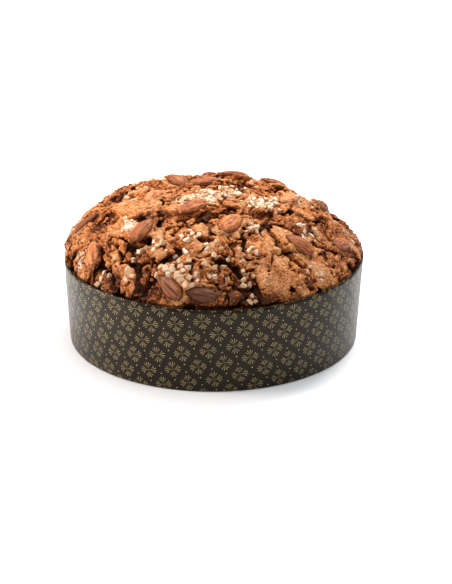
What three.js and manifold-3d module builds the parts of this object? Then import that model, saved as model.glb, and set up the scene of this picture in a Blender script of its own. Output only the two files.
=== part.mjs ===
// A low, wide panettone baked in its paper mould: a domed loaf with a cracked almond glaze,
// whole almonds and pearl sugar grains set in the glaze, and a paper wall glued to a paper base.
// Millimetres, +Z up, origin at the centre of the underside. A bearing is 0 at the front (-Y)
// and grows towards +X; a reach is the plan distance from the dome's axis.
import * as THREE from "three";
import { mergeVertices } from "three/addons/utils/BufferGeometryUtils.js";
import Module from "manifold-3d";

const wasm = await Module();
wasm.setup();

// ---- driving dimensions -------------------------------------------------------------------
const GAP = 0.3; // between faces of pieces that touch
const PAPER = 0.8; // thickness of the corrugated baking paper

const MOULD_FOOT_R = 104.5; // outside radius at the foot
const MOULD_RIM_R = 108; // outside radius at the rim
const MOULD_HEIGHT = 62.5;
const RIM_DIP = 2.2; // how far the rim sags at the front
const RIM_DIP_BEARING = 4;
const RIM_DIP_SPREAD = 34;
const FLANGE = 10; // width of the foot that is folded in under the base
const TOOTH_DEPTH = 6; // the folded foot is cut into glued teeth
const TEETH = 32;
const LAP_WIDTH = 14; // where the wall strip's ends overlap, at the back
const LAP_BEARING = 172;

const VENTS = [
  { reach: 0, count: 1 },
  { reach: 30, count: 6 },
  { reach: 62, count: 12 },
]; // steam holes in the base
const VENT_R = 2;

const DOME_R = 106;
const DOME_FOOT = 59.7; // height where the dome begins, just inside the rim
const DOME_RISE = 46.5;
const DOME_FLATNESS = 3.17; // how flat the dome is across its middle
const DOME_SHOULDER = 0.816; // how steeply it turns down at its edge
const LEAN = 4.3; // how far the top leans towards -X
const LOAF_BOTTOM = PAPER + GAP + PAPER + GAP;
const LOAF_HEART = new THREE.Vector3(0, 0, 35); // the crust's relief rises straight away from here
const LOAF_RINGS = 21; // rings of triangles over the dome

const GROOVE_DEPTH = 4; // cracks between the plates of glaze
const GROOVE_HALF_WIDTH = 5.5;
const SPIRAL_PLATES = 62; // spread over the whole dome, where no placed plate is near
const PLATE_SPACING = 18;

const ALMOND = { length: 23, width: 13.5, thickness: 8 };
const GRAIN = { length: 3.3, width: 2.4, thickness: 2.2 };
const GRAIN_LIFT = 0.45; // of a grain's middle above the crust
const ALMOND_CLEARING = 11; // cracks fade out this close to an almond

// Plates of glaze: bearing, reach, and how far each stands proud.
const PLATES = [
  [-78, 48, 1], [-92, 77, 0], [-54, 72, 1], [-71, 88, 0], [-62, 98, 0], [-48, 87, 0],
  [-34, 96, 1], [-25, 76, 1], [-33, 86, -1], [-13, 92, 1], [-8, 67, 0], [5, 76, 0],
  [1, 90, 0], [-4, 13, 1], [-25, 53, -1], [18, 57, 0], [19, 83, 1], [15, 95, 0],
  [13, 103, -1], [3, 101, -1], [65, 48, 1], [127, 50, 0], [27, 39, -1], [28, 65, 0],
  [-121, 45, 0], [-82, 103, -1], [88, 72, 0], [-43, 103, -1], [-22, 103, -1],
];

// Almonds: bearing, reach, heading of the pointed end (0 towards growing bearing, 90 downhill),
// roll about the long axis, dip of the pointed end, lift of the middle above the smooth dome,
// and size against ALMOND.
const ALMONDS = [
  [-143, 36, -96, 12, 12, 1.2, 0.98], [-179, 23, 155, 0, 0, 1, 1.02],
  [156, 50, -15, 14, -4, 1.6, 1], [-16, 34, 118, -22, 0, 1.8, 1.04],
  [17, 56, 140, -10, 0, 1.6, 1.02], [-82, 39, -150, 0, 0, 0.2, 0.94],
  [-83, 86, -84, -20, 0, 1.8, 1.05], [-39, 69, -88, 16, 0, 1.8, 1.02],
  [-58, 94, 44, 0, 0, 1.4, 0.98], [-16, 99, 38, -8, 0, 1.4, 0.94],
  [-4, 101, 8, 10, 0, 0.2, 0.98], [88, 57, 22, -10, 0, 0.6, 1], [47, 84, 70, 8, 0, 1.6, 1],
  [72, 95, -160, -6, 0, 1.6, 0.96], [104, 84, 35, 10, 0, 1.8, 1.03],
  [122, 97, 95, 0, 0, 1.4, 0.95], [140, 76, -60, -12, 0, 1.4, 1],
  [160, 96, 20, 6, 0, 1.6, 1.04], [177, 78, 130, -8, 0, 1.2, 0.97],
  [-160, 91, -35, 12, 0, 1.6, 1], [-146, 84, 80, -6, 0, 1.2, 1.02],
  [-127, 99, 160, 0, 0, 1.4, 0.96],
];

// Patches of sparse pearl sugar: bearing, reach, radius of the patch, and grains.
const SUGAR_PATCHES = [
  [-13, 91, 13, 11], [-34, 94, 7, 4], [4, 88, 10, 6], [-25, 76, 7, 4], [-8, 67, 5, 2],
  [5, 76, 6, 3],
];

// ---- small helpers ------------------------------------------------------------------------
const rad = THREE.MathUtils.degToRad;
const { smoothstep } = THREE.MathUtils;
const GOLDEN_ANGLE = 180 * (3 - Math.sqrt(5));

// The point at a bearing, a plan distance from the axis and a height.
function around(bearing, reach, z) {
  return new THREE.Vector3(reach * Math.sin(rad(bearing)), -reach * Math.cos(rad(bearing)), z);
}

function toSolid(geometry) {
  const bare = geometry.index ? geometry.toNonIndexed() : geometry.clone();
  bare.deleteAttribute("normal");
  bare.deleteAttribute("uv");
  const merged = mergeVertices(bare, 1e-4);
  return new wasm.Manifold(
    new wasm.Mesh({
      numProp: 3,
      vertProperties: merged.attributes.position.array,
      triVerts: new Uint32Array(merged.index.array),
    }),
  );
}

function toGeometry(solid) {
  const mesh = solid.getMesh();
  const geometry = new THREE.BufferGeometry();
  geometry.setAttribute("position", new THREE.BufferAttribute(mesh.vertProperties, 3));
  geometry.setIndex(new THREE.BufferAttribute(mesh.triVerts, 1));
  geometry.computeVertexNormals();
  return geometry;
}

// A closed ring whose section, a loop of points in order, may change with the bearing.
function ringGeometry(sectionAt, steps) {
  const rows = Array.from({ length: steps }, (_, i) => sectionAt((360 * i) / steps));
  const perRow = rows[0].length;
  const index = [];
  for (let i = 0; i < steps; i++)
    for (let j = 0; j < perRow; j++) {
      const a = i * perRow + j;
      const b = i * perRow + ((j + 1) % perRow);
      const c = ((i + 1) % steps) * perRow + j;
      const d = ((i + 1) % steps) * perRow + ((j + 1) % perRow);
      index.push(a, c, b, b, c, d);
    }
  const geometry = new THREE.BufferGeometry().setFromPoints(rows.flat());
  geometry.setIndex(index);
  return geometry;
}

// ---- materials ----------------------------------------------------------------------------
const material = (color, roughness) =>
  new THREE.MeshStandardMaterial({ color, roughness, metalness: 0 });
const crustMaterial = material(0xb5703a, 0.85);
const almondMaterial = material(0x9c5a34, 0.55);
const sugarMaterial = material(0xf2e3cc, 0.5);
const wallMaterial = material(0x3b302a, 0.6);
const baseMaterial = material(0x4a3a30, 0.8);

// ---- the dome's smooth surface ------------------------------------------------------------
function domeHeight(reach) {
  const inner = Math.max(0, 1 - (reach / DOME_R) ** DOME_FLATNESS);
  return DOME_FOOT + DOME_RISE * inner ** DOME_SHOULDER;
}

function domePoint(bearing, reach) {
  const z = domeHeight(reach);
  const p = around(bearing, reach, z);
  p.x -= LEAN * smoothstep(z, DOME_FOOT, DOME_FOOT + 40);
  return p;
}

// Position, outward normal, downhill and sideways directions on the dome.
function domeFrame(bearing, reach) {
  const step = 0.5;
  const inner = Math.max(reach - step, 0.01);
  const origin = domePoint(bearing, reach);
  const downhill = domePoint(bearing, Math.min(reach + step, DOME_R))
    .sub(domePoint(bearing, inner))
    .normalize();
  const sideways = new THREE.Vector3(Math.cos(rad(bearing)), Math.sin(rad(bearing)), 0);
  const normal = new THREE.Vector3().crossVectors(downhill, sideways).normalize();
  return { origin, normal, downhill, sideways };
}

// ---- the crust's relief -------------------------------------------------------------------
// Placed plates first, then a sunflower spiral wherever there is room.
function platesOverDome() {
  const plates = PLATES.map(([bearing, reach, rise]) => ({
    centre: domePoint(bearing, reach),
    rise,
  }));
  for (let i = 0; i < SPIRAL_PLATES; i++) {
    const reach = (DOME_R - 3) * Math.sqrt((i + 0.5) / SPIRAL_PLATES);
    const centre = domePoint(i * GOLDEN_ANGLE, reach);
    if (plates.every((p) => p.centre.distanceTo(centre) > PLATE_SPACING))
      plates.push({ centre, rise: (i % 3) - 1 });
  }
  return plates;
}

const almondSeats = ALMONDS.map(([bearing, reach]) => domePoint(bearing, reach));
const plates = platesOverDome();

// How far the crust stands above the smooth dome at a point on it.
function relief(point) {
  const near = plates
    .map((p) => ({ d: p.centre.distanceTo(point), rise: p.rise }))
    .sort((a, b) => a.d - b.d);
  const toCrack = (near[1].d - near[0].d) / 2;
  const toAlmond = Math.min(...almondSeats.map((s) => s.distanceTo(point)));
  const groove = 1 - smoothstep(toCrack, 0, GROOVE_HALF_WIDTH);
  const open = smoothstep(toAlmond, ALMOND_CLEARING / 2, ALMOND_CLEARING);
  const inMould = smoothstep(point.z, DOME_FOOT, DOME_FOOT + 8);
  return (near[0].rise * 0.8 - GROOVE_DEPTH * groove * open) * inMould;
}

// ---- the loaf -----------------------------------------------------------------------------
// Rings of 6, 12, 18... points spread triangles of one size over the dome; straight sides and
// a flat bottom close it.
function loafGeometry() {
  const points = [domePoint(0, 0)];
  const index = [];
  const ringStart = (k) => (k === 0 ? 0 : 1 + 3 * k * (k - 1));
  for (let k = 1; k <= LOAF_RINGS; k++) {
    const share = k / LOAF_RINGS;
    const reach = DOME_R * Math.sin((Math.PI / 2) * share) ** 0.86;
    for (let i = 0; i < 6 * k; i++) {
      const origin = domePoint((60 * i) / k, reach);
      const outward = origin.clone().sub(LOAF_HEART).normalize();
      points.push(origin.clone().addScaledVector(outward, relief(origin)));
    }
    for (let side = 0; side < 6; side++)
      for (let i = 0; i < k; i++) {
        const outer = (n) => ringStart(k) + ((side * k + n) % (6 * k));
        const inner = (n) => (k === 1 ? 0 : ringStart(k - 1) + ((side * (k - 1) + n) % (6 * (k - 1))));
        index.push(inner(i), outer(i), outer(i + 1));
        if (i < k - 1) index.push(inner(i), outer(i + 1), inner(i + 1));
      }
  }
  const around6k = 6 * LOAF_RINGS;
  const rim = ringStart(LOAF_RINGS);
  const levels = [
    [DOME_FOOT - 8, wallRadius(DOME_FOOT - 8) - PAPER - 2 * GAP],
    [LOAF_BOTTOM, wallRadius(LOAF_BOTTOM) - PAPER - 2 * GAP],
  ];
  let upper = rim;
  for (const [z, r] of levels) {
    const lower = points.length;
    for (let i = 0; i < around6k; i++) points.push(around((360 * i) / around6k, r, z));
    for (let i = 0; i < around6k; i++) {
      const j = (i + 1) % around6k;
      index.push(upper + i, lower + i, lower + j, upper + i, lower + j, upper + j);
    }
    upper = lower;
  }
  const bottom = points.push(new THREE.Vector3(0, 0, LOAF_BOTTOM)) - 1;
  for (let i = 0; i < around6k; i++) index.push(upper + i, bottom, upper + ((i + 1) % around6k));
  const geometry = new THREE.BufferGeometry().setFromPoints(points);
  geometry.setIndex(index);
  return geometry;
}

// ---- almonds and pearl sugar --------------------------------------------------------------
// A teardrop along X, pointed towards +X, broad in Y and thin in Z.
function almondGeometry(size, extra = 0) {
  const length = ALMOND.length * size + extra;
  const sections = 6;
  const sides = 10;
  const fullness = (s) => (s ** 0.5 * (1 - s) ** 0.72) / 0.4395;
  const points = [new THREE.Vector3(-length / 2, 0, 0)];
  for (let k = 1; k < sections; k++) {
    const s = (1 - Math.cos((Math.PI * k) / sections)) / 2;
    const halfWidth = ((ALMOND.width * size + extra) / 2) * fullness(s);
    const halfThickness = ((ALMOND.thickness * size + extra) / 2) * fullness(s);
    for (let i = 0; i < sides; i++) {
      const turn = (2 * Math.PI * i) / sides;
      points.push(
        new THREE.Vector3(
          (s - 0.5) * length,
          halfWidth * Math.cos(turn),
          halfThickness * Math.sin(turn),
        ),
      );
    }
  }
  const tip = points.push(new THREE.Vector3(length / 2, 0, 0)) - 1;
  const index = [];
  for (let i = 0; i < sides; i++) {
    const j = (i + 1) % sides;
    index.push(0, 1 + j, 1 + i);
    for (let k = 0; k < sections - 2; k++) {
      const a = 1 + k * sides;
      const b = a + sides;
      index.push(a + i, a + j, b + i, a + j, b + j, b + i);
    }
    const last = 1 + (sections - 2) * sides;
    index.push(last + i, last + j, tip);
  }
  const geometry = new THREE.BufferGeometry().setFromPoints(points);
  geometry.setIndex(index);
  return geometry;
}

// A rough grain: an icosahedron pressed out of square.
function grainGeometry(size, extra = 0) {
  const grain = new THREE.IcosahedronGeometry(1, 0);
  grain.scale(
    (GRAIN.length * size + extra) / 2,
    (GRAIN.width * size + extra) / 2,
    (GRAIN.thickness * size + extra) / 2,
  );
  return grain;
}

// Stands a mesh on the dome: its X axis along the heading, dipped at its far end and rolled.
function seat(mesh, bearing, reach, heading, roll, dip, lift) {
  const { origin, normal, downhill, sideways } = domeFrame(bearing, reach);
  const along = sideways
    .clone()
    .multiplyScalar(Math.cos(rad(heading)))
    .addScaledVector(downhill, Math.sin(rad(heading)));
  const across = new THREE.Vector3().crossVectors(normal, along);
  mesh.quaternion.setFromRotationMatrix(new THREE.Matrix4().makeBasis(along, across, normal));
  mesh.rotateY(rad(dip));
  mesh.rotateX(rad(roll));
  mesh.position.copy(origin).addScaledVector(normal, lift);
}

function makeAlmonds() {
  return ALMONDS.map(([bearing, reach, heading, roll, dip, lift, size], i) => {
    const mesh = new THREE.Mesh(almondGeometry(size), almondMaterial);
    mesh.name = `almond_${String(i + 1).padStart(2, "0")}`;
    mesh.userData.pocket = almondGeometry(size, 2 * GAP);
    seat(mesh, bearing, reach, heading, roll, dip, lift);
    return mesh;
  });
}

// Grains lie on the crust in sunflower order round the middle of their patch, clear of the
// almonds and of one another.
function makeGrains(crust, almonds) {
  const grains = [];
  for (const [bearing, reach, radius, count] of SUGAR_PATCHES)
    for (let i = 0; i < count; i++) {
      const turn = rad(i * GOLDEN_ANGLE + bearing);
      const out = radius * Math.sqrt((i + 0.6) / count);
      const grainReach = Math.min(reach + out * Math.sin(turn), DOME_R - 3);
      const grainBearing = bearing + THREE.MathUtils.radToDeg((out * Math.cos(turn)) / reach);
      const size = 0.92 + 0.05 * (i % 4);
      const mesh = new THREE.Mesh(grainGeometry(size), sugarMaterial);
      mesh.userData.pocket = grainGeometry(size, 2 * GAP);
      seat(mesh, grainBearing, grainReach, i * 77, 15 * (i % 3), 0, 0);
      const outward = mesh.position.clone().sub(LOAF_HEART).normalize();
      const above = mesh.position.clone().addScaledVector(outward, 20);
      const [hit] = new THREE.Raycaster(above, outward.clone().negate()).intersectObject(crust);
      mesh.position.copy(hit.point).addScaledVector(outward, GRAIN_LIFT);
      const clear = (other, room) => other.position.distanceTo(mesh.position) > room;
      const alone = grains.every((other) => clear(other, GRAIN.length + 1));
      if (alone && almonds.every((other) => clear(other, ALMOND.length / 2 + 2))) grains.push(mesh);
    }
  grains.forEach((mesh, i) => {
    mesh.name = `pearl_sugar_${String(i + 1).padStart(2, "0")}`;
  });
  return grains;
}

// The loaf, with a pocket for everything that is set in its glaze.
function makeLoaf(crust, toppings) {
  let solid = toSolid(crust.geometry);
  for (const topping of toppings) {
    topping.updateMatrix();
    const pocket = topping.userData.pocket.clone().applyMatrix4(topping.matrix);
    solid = solid.subtract(toSolid(pocket));
  }
  const largest = solid.decompose().sort((a, b) => b.volume() - a.volume())[0];
  const mesh = new THREE.Mesh(toGeometry(largest), crustMaterial);
  mesh.name = "loaf";
  return mesh;
}

// ---- the paper mould ----------------------------------------------------------------------
// A function declaration, because the loaf above uses it too.
function wallRadius(z) {
  return MOULD_FOOT_R + ((MOULD_RIM_R - MOULD_FOOT_R) * z) / MOULD_HEIGHT;
}

function rimHeight(bearing) {
  const off = ((bearing - RIM_DIP_BEARING + 540) % 360) - 180;
  return MOULD_HEIGHT - RIM_DIP * Math.exp(-((off / RIM_DIP_SPREAD) ** 2));
}

// The wall with its foot folded in, toothed along the fold's inner edge, and the strip's
// glued lap at the back.
function makeWall() {
  const steps = 4 * TEETH;
  const section = (bearing) => {
    const top = rimHeight(bearing);
    const phase = Math.round((bearing * TEETH) / 90) % 4;
    const notch = phase === 2 ? TOOTH_DEPTH : 0;
    const flangeR = wallRadius(0) - FLANGE + notch;
    const outline = [
      [wallRadius(0), 0],
      [wallRadius(top / 2), top / 2],
      [wallRadius(top), top],
      [wallRadius(top) - PAPER, top],
      [wallRadius(top / 2) - PAPER, top / 2],
      [wallRadius(PAPER) - PAPER, PAPER],
      [flangeR, PAPER],
      [flangeR, 0],
    ];
    return outline.map(([r, z]) => around(bearing, r, z));
  };
  const lapHalf = THREE.MathUtils.radToDeg(LAP_WIDTH / 2 / MOULD_FOOT_R);
  const lapRows = Array.from({ length: 5 }, (_, i) => LAP_BEARING + lapHalf * (i / 2 - 1));
  const lapPoints = lapRows.flatMap((bearing) => [
    around(bearing, wallRadius(1) - PAPER / 2, 1),
    around(bearing, wallRadius(1) + PAPER / 2, 1),
    around(bearing, wallRadius(MOULD_HEIGHT - 1) + PAPER / 2, MOULD_HEIGHT - 1),
    around(bearing, wallRadius(MOULD_HEIGHT - 1) - PAPER / 2, MOULD_HEIGHT - 1),
  ]);
  const lapIndex = [0, 1, 2, 0, 2, 3];
  for (let i = 0; i < lapRows.length - 1; i++)
    for (let j = 0; j < 4; j++) {
      const a = 4 * i + j;
      const b = 4 * i + ((j + 1) % 4);
      lapIndex.push(a, a + 4, b, b, a + 4, b + 4);
    }
  const end = 4 * (lapRows.length - 1);
  lapIndex.push(end, end + 2, end + 1, end, end + 3, end + 2);
  const lap = new THREE.BufferGeometry().setFromPoints(lapPoints);
  lap.setIndex(lapIndex);
  const solid = toSolid(ringGeometry(section, steps)).add(toSolid(lap));
  const mesh = new THREE.Mesh(toGeometry(solid), wallMaterial);
  mesh.name = "mould_wall";
  return mesh;
}

function circle(x, y, r, steps) {
  const turn = (i) => (2 * Math.PI * i) / steps;
  return Array.from(
    { length: steps },
    (_, i) => new THREE.Vector2(x + r * Math.cos(turn(i)), y + r * Math.sin(turn(i))),
  );
}

function makeBase() {
  const shape = new THREE.Shape(circle(0, 0, wallRadius(2 * PAPER) - PAPER - GAP, 96));
  for (const { reach, count } of VENTS)
    for (let i = 0; i < count; i++) {
      const centre = around((360 * i) / count, reach, 0);
      shape.holes.push(new THREE.Path(circle(centre.x, centre.y, VENT_R, 10)));
    }
  const disc = new THREE.ExtrudeGeometry(shape, { depth: PAPER, bevelEnabled: false });
  const mesh = new THREE.Mesh(disc, baseMaterial);
  mesh.name = "mould_base";
  mesh.position.z = PAPER + GAP;
  return mesh;
}

// ---- the panettone ------------------------------------------------------------------------
const panettone = new THREE.Group();
const crust = new THREE.Mesh(loafGeometry());
const almonds = makeAlmonds();
const grains = makeGrains(crust, almonds);
const toppings = [...almonds, ...grains];
panettone.add(makeWall(), makeBase(), makeLoaf(crust, toppings), ...toppings);

export default panettone;
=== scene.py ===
"""Looks of a low panettone in its printed paper mould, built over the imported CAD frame.

Shapes are worked out in millimetres and turned into metres as each mesh is made. A bearing is 0 at
the front (-Y) and grows towards +X; a reach is the plan distance from the dome's axis.
"""

import math

import bmesh
import bpy
import numpy as np
import openvdb
from mathutils import Matrix, Vector
from mathutils.bvhtree import BVHTree


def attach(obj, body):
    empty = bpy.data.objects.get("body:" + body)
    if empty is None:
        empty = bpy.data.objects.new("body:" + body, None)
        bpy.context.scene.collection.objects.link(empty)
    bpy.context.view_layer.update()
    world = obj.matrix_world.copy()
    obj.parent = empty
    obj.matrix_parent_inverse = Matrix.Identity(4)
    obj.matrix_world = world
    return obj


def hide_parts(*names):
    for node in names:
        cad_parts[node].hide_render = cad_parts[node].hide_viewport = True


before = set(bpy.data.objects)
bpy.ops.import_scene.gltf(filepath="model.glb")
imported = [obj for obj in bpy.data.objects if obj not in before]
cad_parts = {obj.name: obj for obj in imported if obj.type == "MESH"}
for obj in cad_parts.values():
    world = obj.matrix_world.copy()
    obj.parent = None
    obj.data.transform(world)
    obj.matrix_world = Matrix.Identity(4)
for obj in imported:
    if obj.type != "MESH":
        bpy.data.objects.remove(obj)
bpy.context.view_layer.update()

# ---- dimensions, in millimetres ----
PAPER = 0.8
MOULD_FOOT_R = 104.5
MOULD_RIM_R = 108.0
MOULD_HEIGHT = 62.5
RIM_DIP = 2.2
RIM_DIP_BEARING = 4
RIM_DIP_SPREAD = 34
FLANGE = 10.0
TOOTH_DEPTH = 6.0
TEETH = 32
LAP_WIDTH = 14.0
LAP_BEARING = 172
LAP_RISE = 0.36
FOOT_ROUNDING = 1.1

DOME_R = 106.0
DOME_FOOT = 59.7
DOME_RISE = 46.5
DOME_FLATNESS = 3.17
DOME_SHOULDER = 0.816
LEAN = 4.3
LOAF_BOTTOM = 2.2
HEART = np.array([0.0, 0.0, 35.0])  # outward directions run from here
SWOLLEN_BEARING = -100  # on this side the glaze swells over the rim, and draws the paper in
SWOLLEN_SPREAD = 34
DRAWN_IN = 1.2

CRUST_FOOT = 54.0  # the crust's relief is worked out above this height
CARVED_ABOVE = (55, 59)  # heights between which the relief comes in
STRETCHED_BELOW = 58  # the plain part under this height is stretched down into the mould
OVERHANG_LEVEL = 63.2  # above it the crust may reach CRUST_R, and below it only INNER_R
CRUST_R = 107.9
INNER_R = 106.3
RECESS_R = 107.5  # the crust draws back from this radius at the rim
GLAZE_DEPTH = 4.6  # from the smooth dome down to the body
CRACK_DEPTH = 3.6  # of fine cracks across the plates
FLAKE_DEPTH = 1.6  # of lost flakes
CRUMB = 3.4
FINE_CRUMB = 2.0
BACK_SWELL = 3.2  # over the smooth dome at the back left
BACK_SWELL_BEARING = -115

STEP = 0.8  # spacing of the grid that the crust is carved in
CRUST_TRIANGLES = 196000
BAND = (-9.0, 4.0)  # heights over the smooth dome between which the crust is carved
FAR = 6.0  # the field's value away from that band

# Plates of glaze: bearing, reach, rise, roughness 0 to 1, tone -1 (dark) to 1 (pale).
PLATES = [
    (-78, 48, 1, 0.2, 0.5), (-92, 77, 0, 0.8, 0.1), (-54, 72, 1, 0.3, 0.5), (-71, 88, 0, 0.7, 0.2),
    (-62, 98, 0, 0.3, 0.4), (-48, 87, 0, 0.5, 0.2), (-34, 96, 1, 0.2, 0.3), (-25, 76, 1, 0.1, 0),
    (-33, 86, 0, 0.8, 0.1), (-13, 92, 1, 0.3, 0.1), (-8, 67, 0, 0.4, -0.1), (5, 76, 0, 0.4, 0),
    (1, 90, 0, 0.5, -0.2), (-4, 13, 1, 0.2, 0.8), (-25, 53, -1, 0.9, -0.1), (18, 57, 0, 0.3, 0.3),
    (19, 83, 1, 0.5, 0), (15, 95, 0, 0.8, -0.4), (13, 103, -1, 0.6, -0.3),
    (3, 101, -0.5, 0.8, -0.3), (65, 48, 1, 0.3, 0.7), (127, 50, 0, 0.5, 0.2),
    (27, 39, -1, 0.9, 0.1), (28, 65, 0, 0.7, 0.1), (-121, 45, 0, 0.6, 0.3),
    (-82, 103, -1, 0.6, 0.3), (88, 72, 0, 0.4, 0.2), (-43, 103, -0.3, 0.7, -0.2),
    (-22, 103, -0.3, 0.7, -0.2), (22, 102, 1, 0.3, -0.2), (38, 75, 1, 0.3, 0.1),
    (-28, 92, 0.4, 0.6, 0.1),
]
SPIRAL_PLATES = 62
PLATE_SPACING = 18.0

# Open cracks: points as (bearing, reach), half width, depth.
CUTS = [
    ([(-22, 49), (-15, 47), (0, 41), (12, 37)], 2.8, 9), ([(12, 37), (19, 35), (24, 42)], 3.0, 9),
    ([(153, 30), (139, 31), (120, 36), (112, 43)], 3.0, 9),
    ([(-90, 75), (-95, 69), (-101, 62)], 1.8, 7), ([(-56, 64), (-52, 57), (-48, 49)], 2.0, 8),
    ([(-57, 88), (-52, 94), (-49, 99)], 1.3, 8), ([(-47, 93), (-43, 99), (-40, 104)], 1.2, 8),
    ([(-26, 103), (-25, 95), (-25, 86)], 1.2, 8), ([(8, 84), (11, 88), (12, 93)], 2.0, 9),
    ([(38, 48), (41, 53), (43, 58)], 2.4, 8), ([(21, 65), (20, 73), (18, 79)], 1.6, 7),
    ([(-77, 103), (-70, 104), (-64, 105)], 2.0, 8), ([(-45, 79), (-37, 80), (-30, 77)], 1.5, 7),
    ([(-22, 90), (-21, 86), (-18, 82)], 1.2, 6), ([(-48, 84), (-42, 88), (-40, 93)], 1.3, 6),
    ([(-6, 66), (-1, 70), (5, 68)], 1.4, 6), ([(-26, 60), (-19, 56), (-12, 57)], 1.3, 7),
    ([(80, 78), (92, 86), (98, 97)], 1.8, 8), ([(120, 66), (112, 78), (114, 92)], 2.0, 9),
    ([(150, 60), (160, 72), (156, 84)], 1.8, 8), ([(-170, 55), (-163, 72), (-172, 86)], 2.0, 9),
    ([(-140, 62), (-128, 74), (-134, 88)], 1.8, 8), ([(-112, 70), (-105, 84), (-110, 98)], 1.6, 8),
    ([(60, 66), (66, 78), (60, 92)], 1.8, 8), ([(40, 66), (36, 80), (40, 95)], 1.6, 8),
]

# Almonds: widths against the CAD's, how far glaze rises over the flanks, and tints, which are
# brightness, warmth and how much pale glaze covers each almond in turn.
USUAL_WIDTH = 0.86
WIDTHS = {"almond_05": 0.98, "almond_06": 0.98, "almond_11": 0.8, "almond_12": 0.95}
SUNKEN = {"almond_11": 1.0, "almond_06": 0.6, "almond_09": 0.5}
ALMOND_TINTS = {
    1: (1.0, 0, 0.05), 2: (1.15, 0, 0.15), 3: (1.0, 0, 0), 4: (1.25, 0.1, 0.05),
    5: (1.35, 0.3, 0.35), 6: (1.2, 0.3, 0.5), 7: (0.75, 0, 0), 8: (1.1, 0, 0.05),
    # Almond 11's low brightness is painted shade, for the shadow by the paper.
    9: (1.25, 0.6, 0.3), 10: (0.7, 0, 0), 11: (0.3, 0, 0), 12: (1.3, 0.4, 0.5),
}
SKIN_SHIFT = 40.0  # sets each almond's skin pattern apart from the last one's

# Pearl sugar: bearing, reach, radius of the patch, grains, size, how frosted the glaze is there.
SUGAR = [
    (-40, 21, 6, 14, 0.9, 0.8), (-8, 11, 9, 72, 1.0, 1.0), (75, 12, 9, 60, 1.0, 1.0),
    (107, 21, 6, 16, 0.95, 0.9), (66, 44, 12, 60, 0.9, 1.0), (-50, 65, 6, 10, 0.95, 1.0),
    (-120, 57, 6, 6, 0.95, 0.2), (-88, 50, 8, 8, 0.9, 0.5), (-116, 43, 5, 4, 0.9, 0.3),
    (-31, 79, 3, 3, 1.15, 0.1), (-26, 76, 3, 2, 1.15, 0.1), (-6, 66, 5, 6, 1.1, 0.1),
    (3, 77, 5, 5, 1.15, 0.1), (20, 82, 5, 6, 1.2, 0.1), (-35, 96, 5, 3, 1.3, 0.1),
    (-13, 91, 5, 9, 1.3, 0), (-20, 93, 4, 3, 1.3, 0), (-8, 95, 4, 4, 1.35, 0),
    (-4, 101, 3, 3, 1.3, 0), (1, 91, 4, 3, 1.2, 0), (14, 95, 5, 8, 1.15, 0),
    (14, 104, 3, 2, 1.2, 0.2), (-64, 100, 4, 7, 1.2, 0.6), (-48, 102, 3, 4, 1.25, 0.3),
    (32, 64, 6, 7, 0.95, 0.7), (100, 68, 11, 18, 1.05, 0.4), (126, 88, 8, 9, 1.1, 0.2),
    (150, 62, 12, 20, 1.05, 0.6), (-178, 92, 8, 9, 1.1, 0.2), (-150, 68, 11, 15, 1.05, 0.5),
    (-122, 80, 8, 8, 1.05, 0.2), (62, 80, 8, 10, 1.1, 0.3), (44, 99, 7, 7, 1.15, 0.1),
    (-98, 96, 6, 6, 1.1, 0.3), (84, 98, 6, 6, 1.1, 0.1), (145, 97, 7, 7, 1.1, 0.1),
]
GRAIN = (3.2, 2.6, 2.3)
GRAIN_GAP = 3.1
DENSE_PATCH = 30  # a patch of more grains than this has them DENSE_GAP apart
DENSE_GAP = 1.9
GRAINS_R = 104.6  # loose grains lie inside this radius
DEEPEST_GRAIN = 2.6  # and no deeper under the smooth dome than this
BALL = (2.3, 2.3, 2.2)
# Glazed balls of sugar: bearing, reach.
GLAZED_BALLS = [(-68, 105), (-63, 106), (-59, 106), (-55, 105), (-51, 105), (-46, 105), (-37, 104)]

# Print on the paper.
PRINT_R = 106.5  # radius at which the arc along the paper is measured
PRINT_TURN = math.radians(10.3)  # the pattern lies askew on the strip
PRINT_CELL = (17.9, 22.4)  # a motif at each corner of the cell, and one in its middle
PRINT_START = (-7.6, 54.0)
PRINT_EDGE = (-0.07, 0.1)  # the ink comes in between these distances inside a stroke
FLUTE = 2.6  # spacing of the paper's corrugation

# Camera and lights, in metres, degrees and watts.
CAMERA_ELEVATION = 21.6
CAMERA_DISTANCE = 1.1
CAMERA_LENS = 93.4
MIDDLE = Vector((0, 0, 0.04))  # the camera turns about this point
SHIFT_RIGHT = 0.0092  # the aim lies this far off that point, to the right and down
SHIFT_DOWN = 0.0091
WORLD_STRENGTH = 0.29
LAMPS = [  # name, place, target, size, power, colour
    ("key", (0.3, 0.55, 1.1), (0, 0, 0.06), (0.45, 0.45), 14, (1, 0.97, 0.93)),
    ("top", (0, 0.4, 2.2), (0, 0.4, 0), (3.2, 3.2), 70, (1, 1, 1)),
    ("left_box", (-0.9, -0.05, 0.3), (0, 0, 0.05), (0.35, 0.6), 9.4, (1, 0.86, 0.77)),
]

# The floor, in millimetres: half its side, and its level, a hair under the mould.
FLOOR_HALF = 6000
FLOOR_LEVEL = -0.05


# ---- small helpers ----
def smooth(value, low, high):
    t = np.clip((value - low) / (high - low), 0, 1)
    return t * t * (3 - 2 * t)


def soft_min(a, b, k):
    h = np.clip(0.5 + 0.5 * (b - a) / k, 0, 1)
    return b + (a - b) * h - k * h * (1 - h)


def soft_max(a, b, k):
    return -soft_min(-a, -b, k)


def swollen(bearing):
    """1 on the side where the glaze swells over the rim, fading to 0 away from it."""
    return np.exp(-(((bearing - SWOLLEN_BEARING) / SWOLLEN_SPREAD) ** 4))


def lean_at(z):
    """How far the dome leans to -X at a height."""
    return LEAN * smooth(z, DOME_FOOT, DOME_FOOT + 40)


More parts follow.
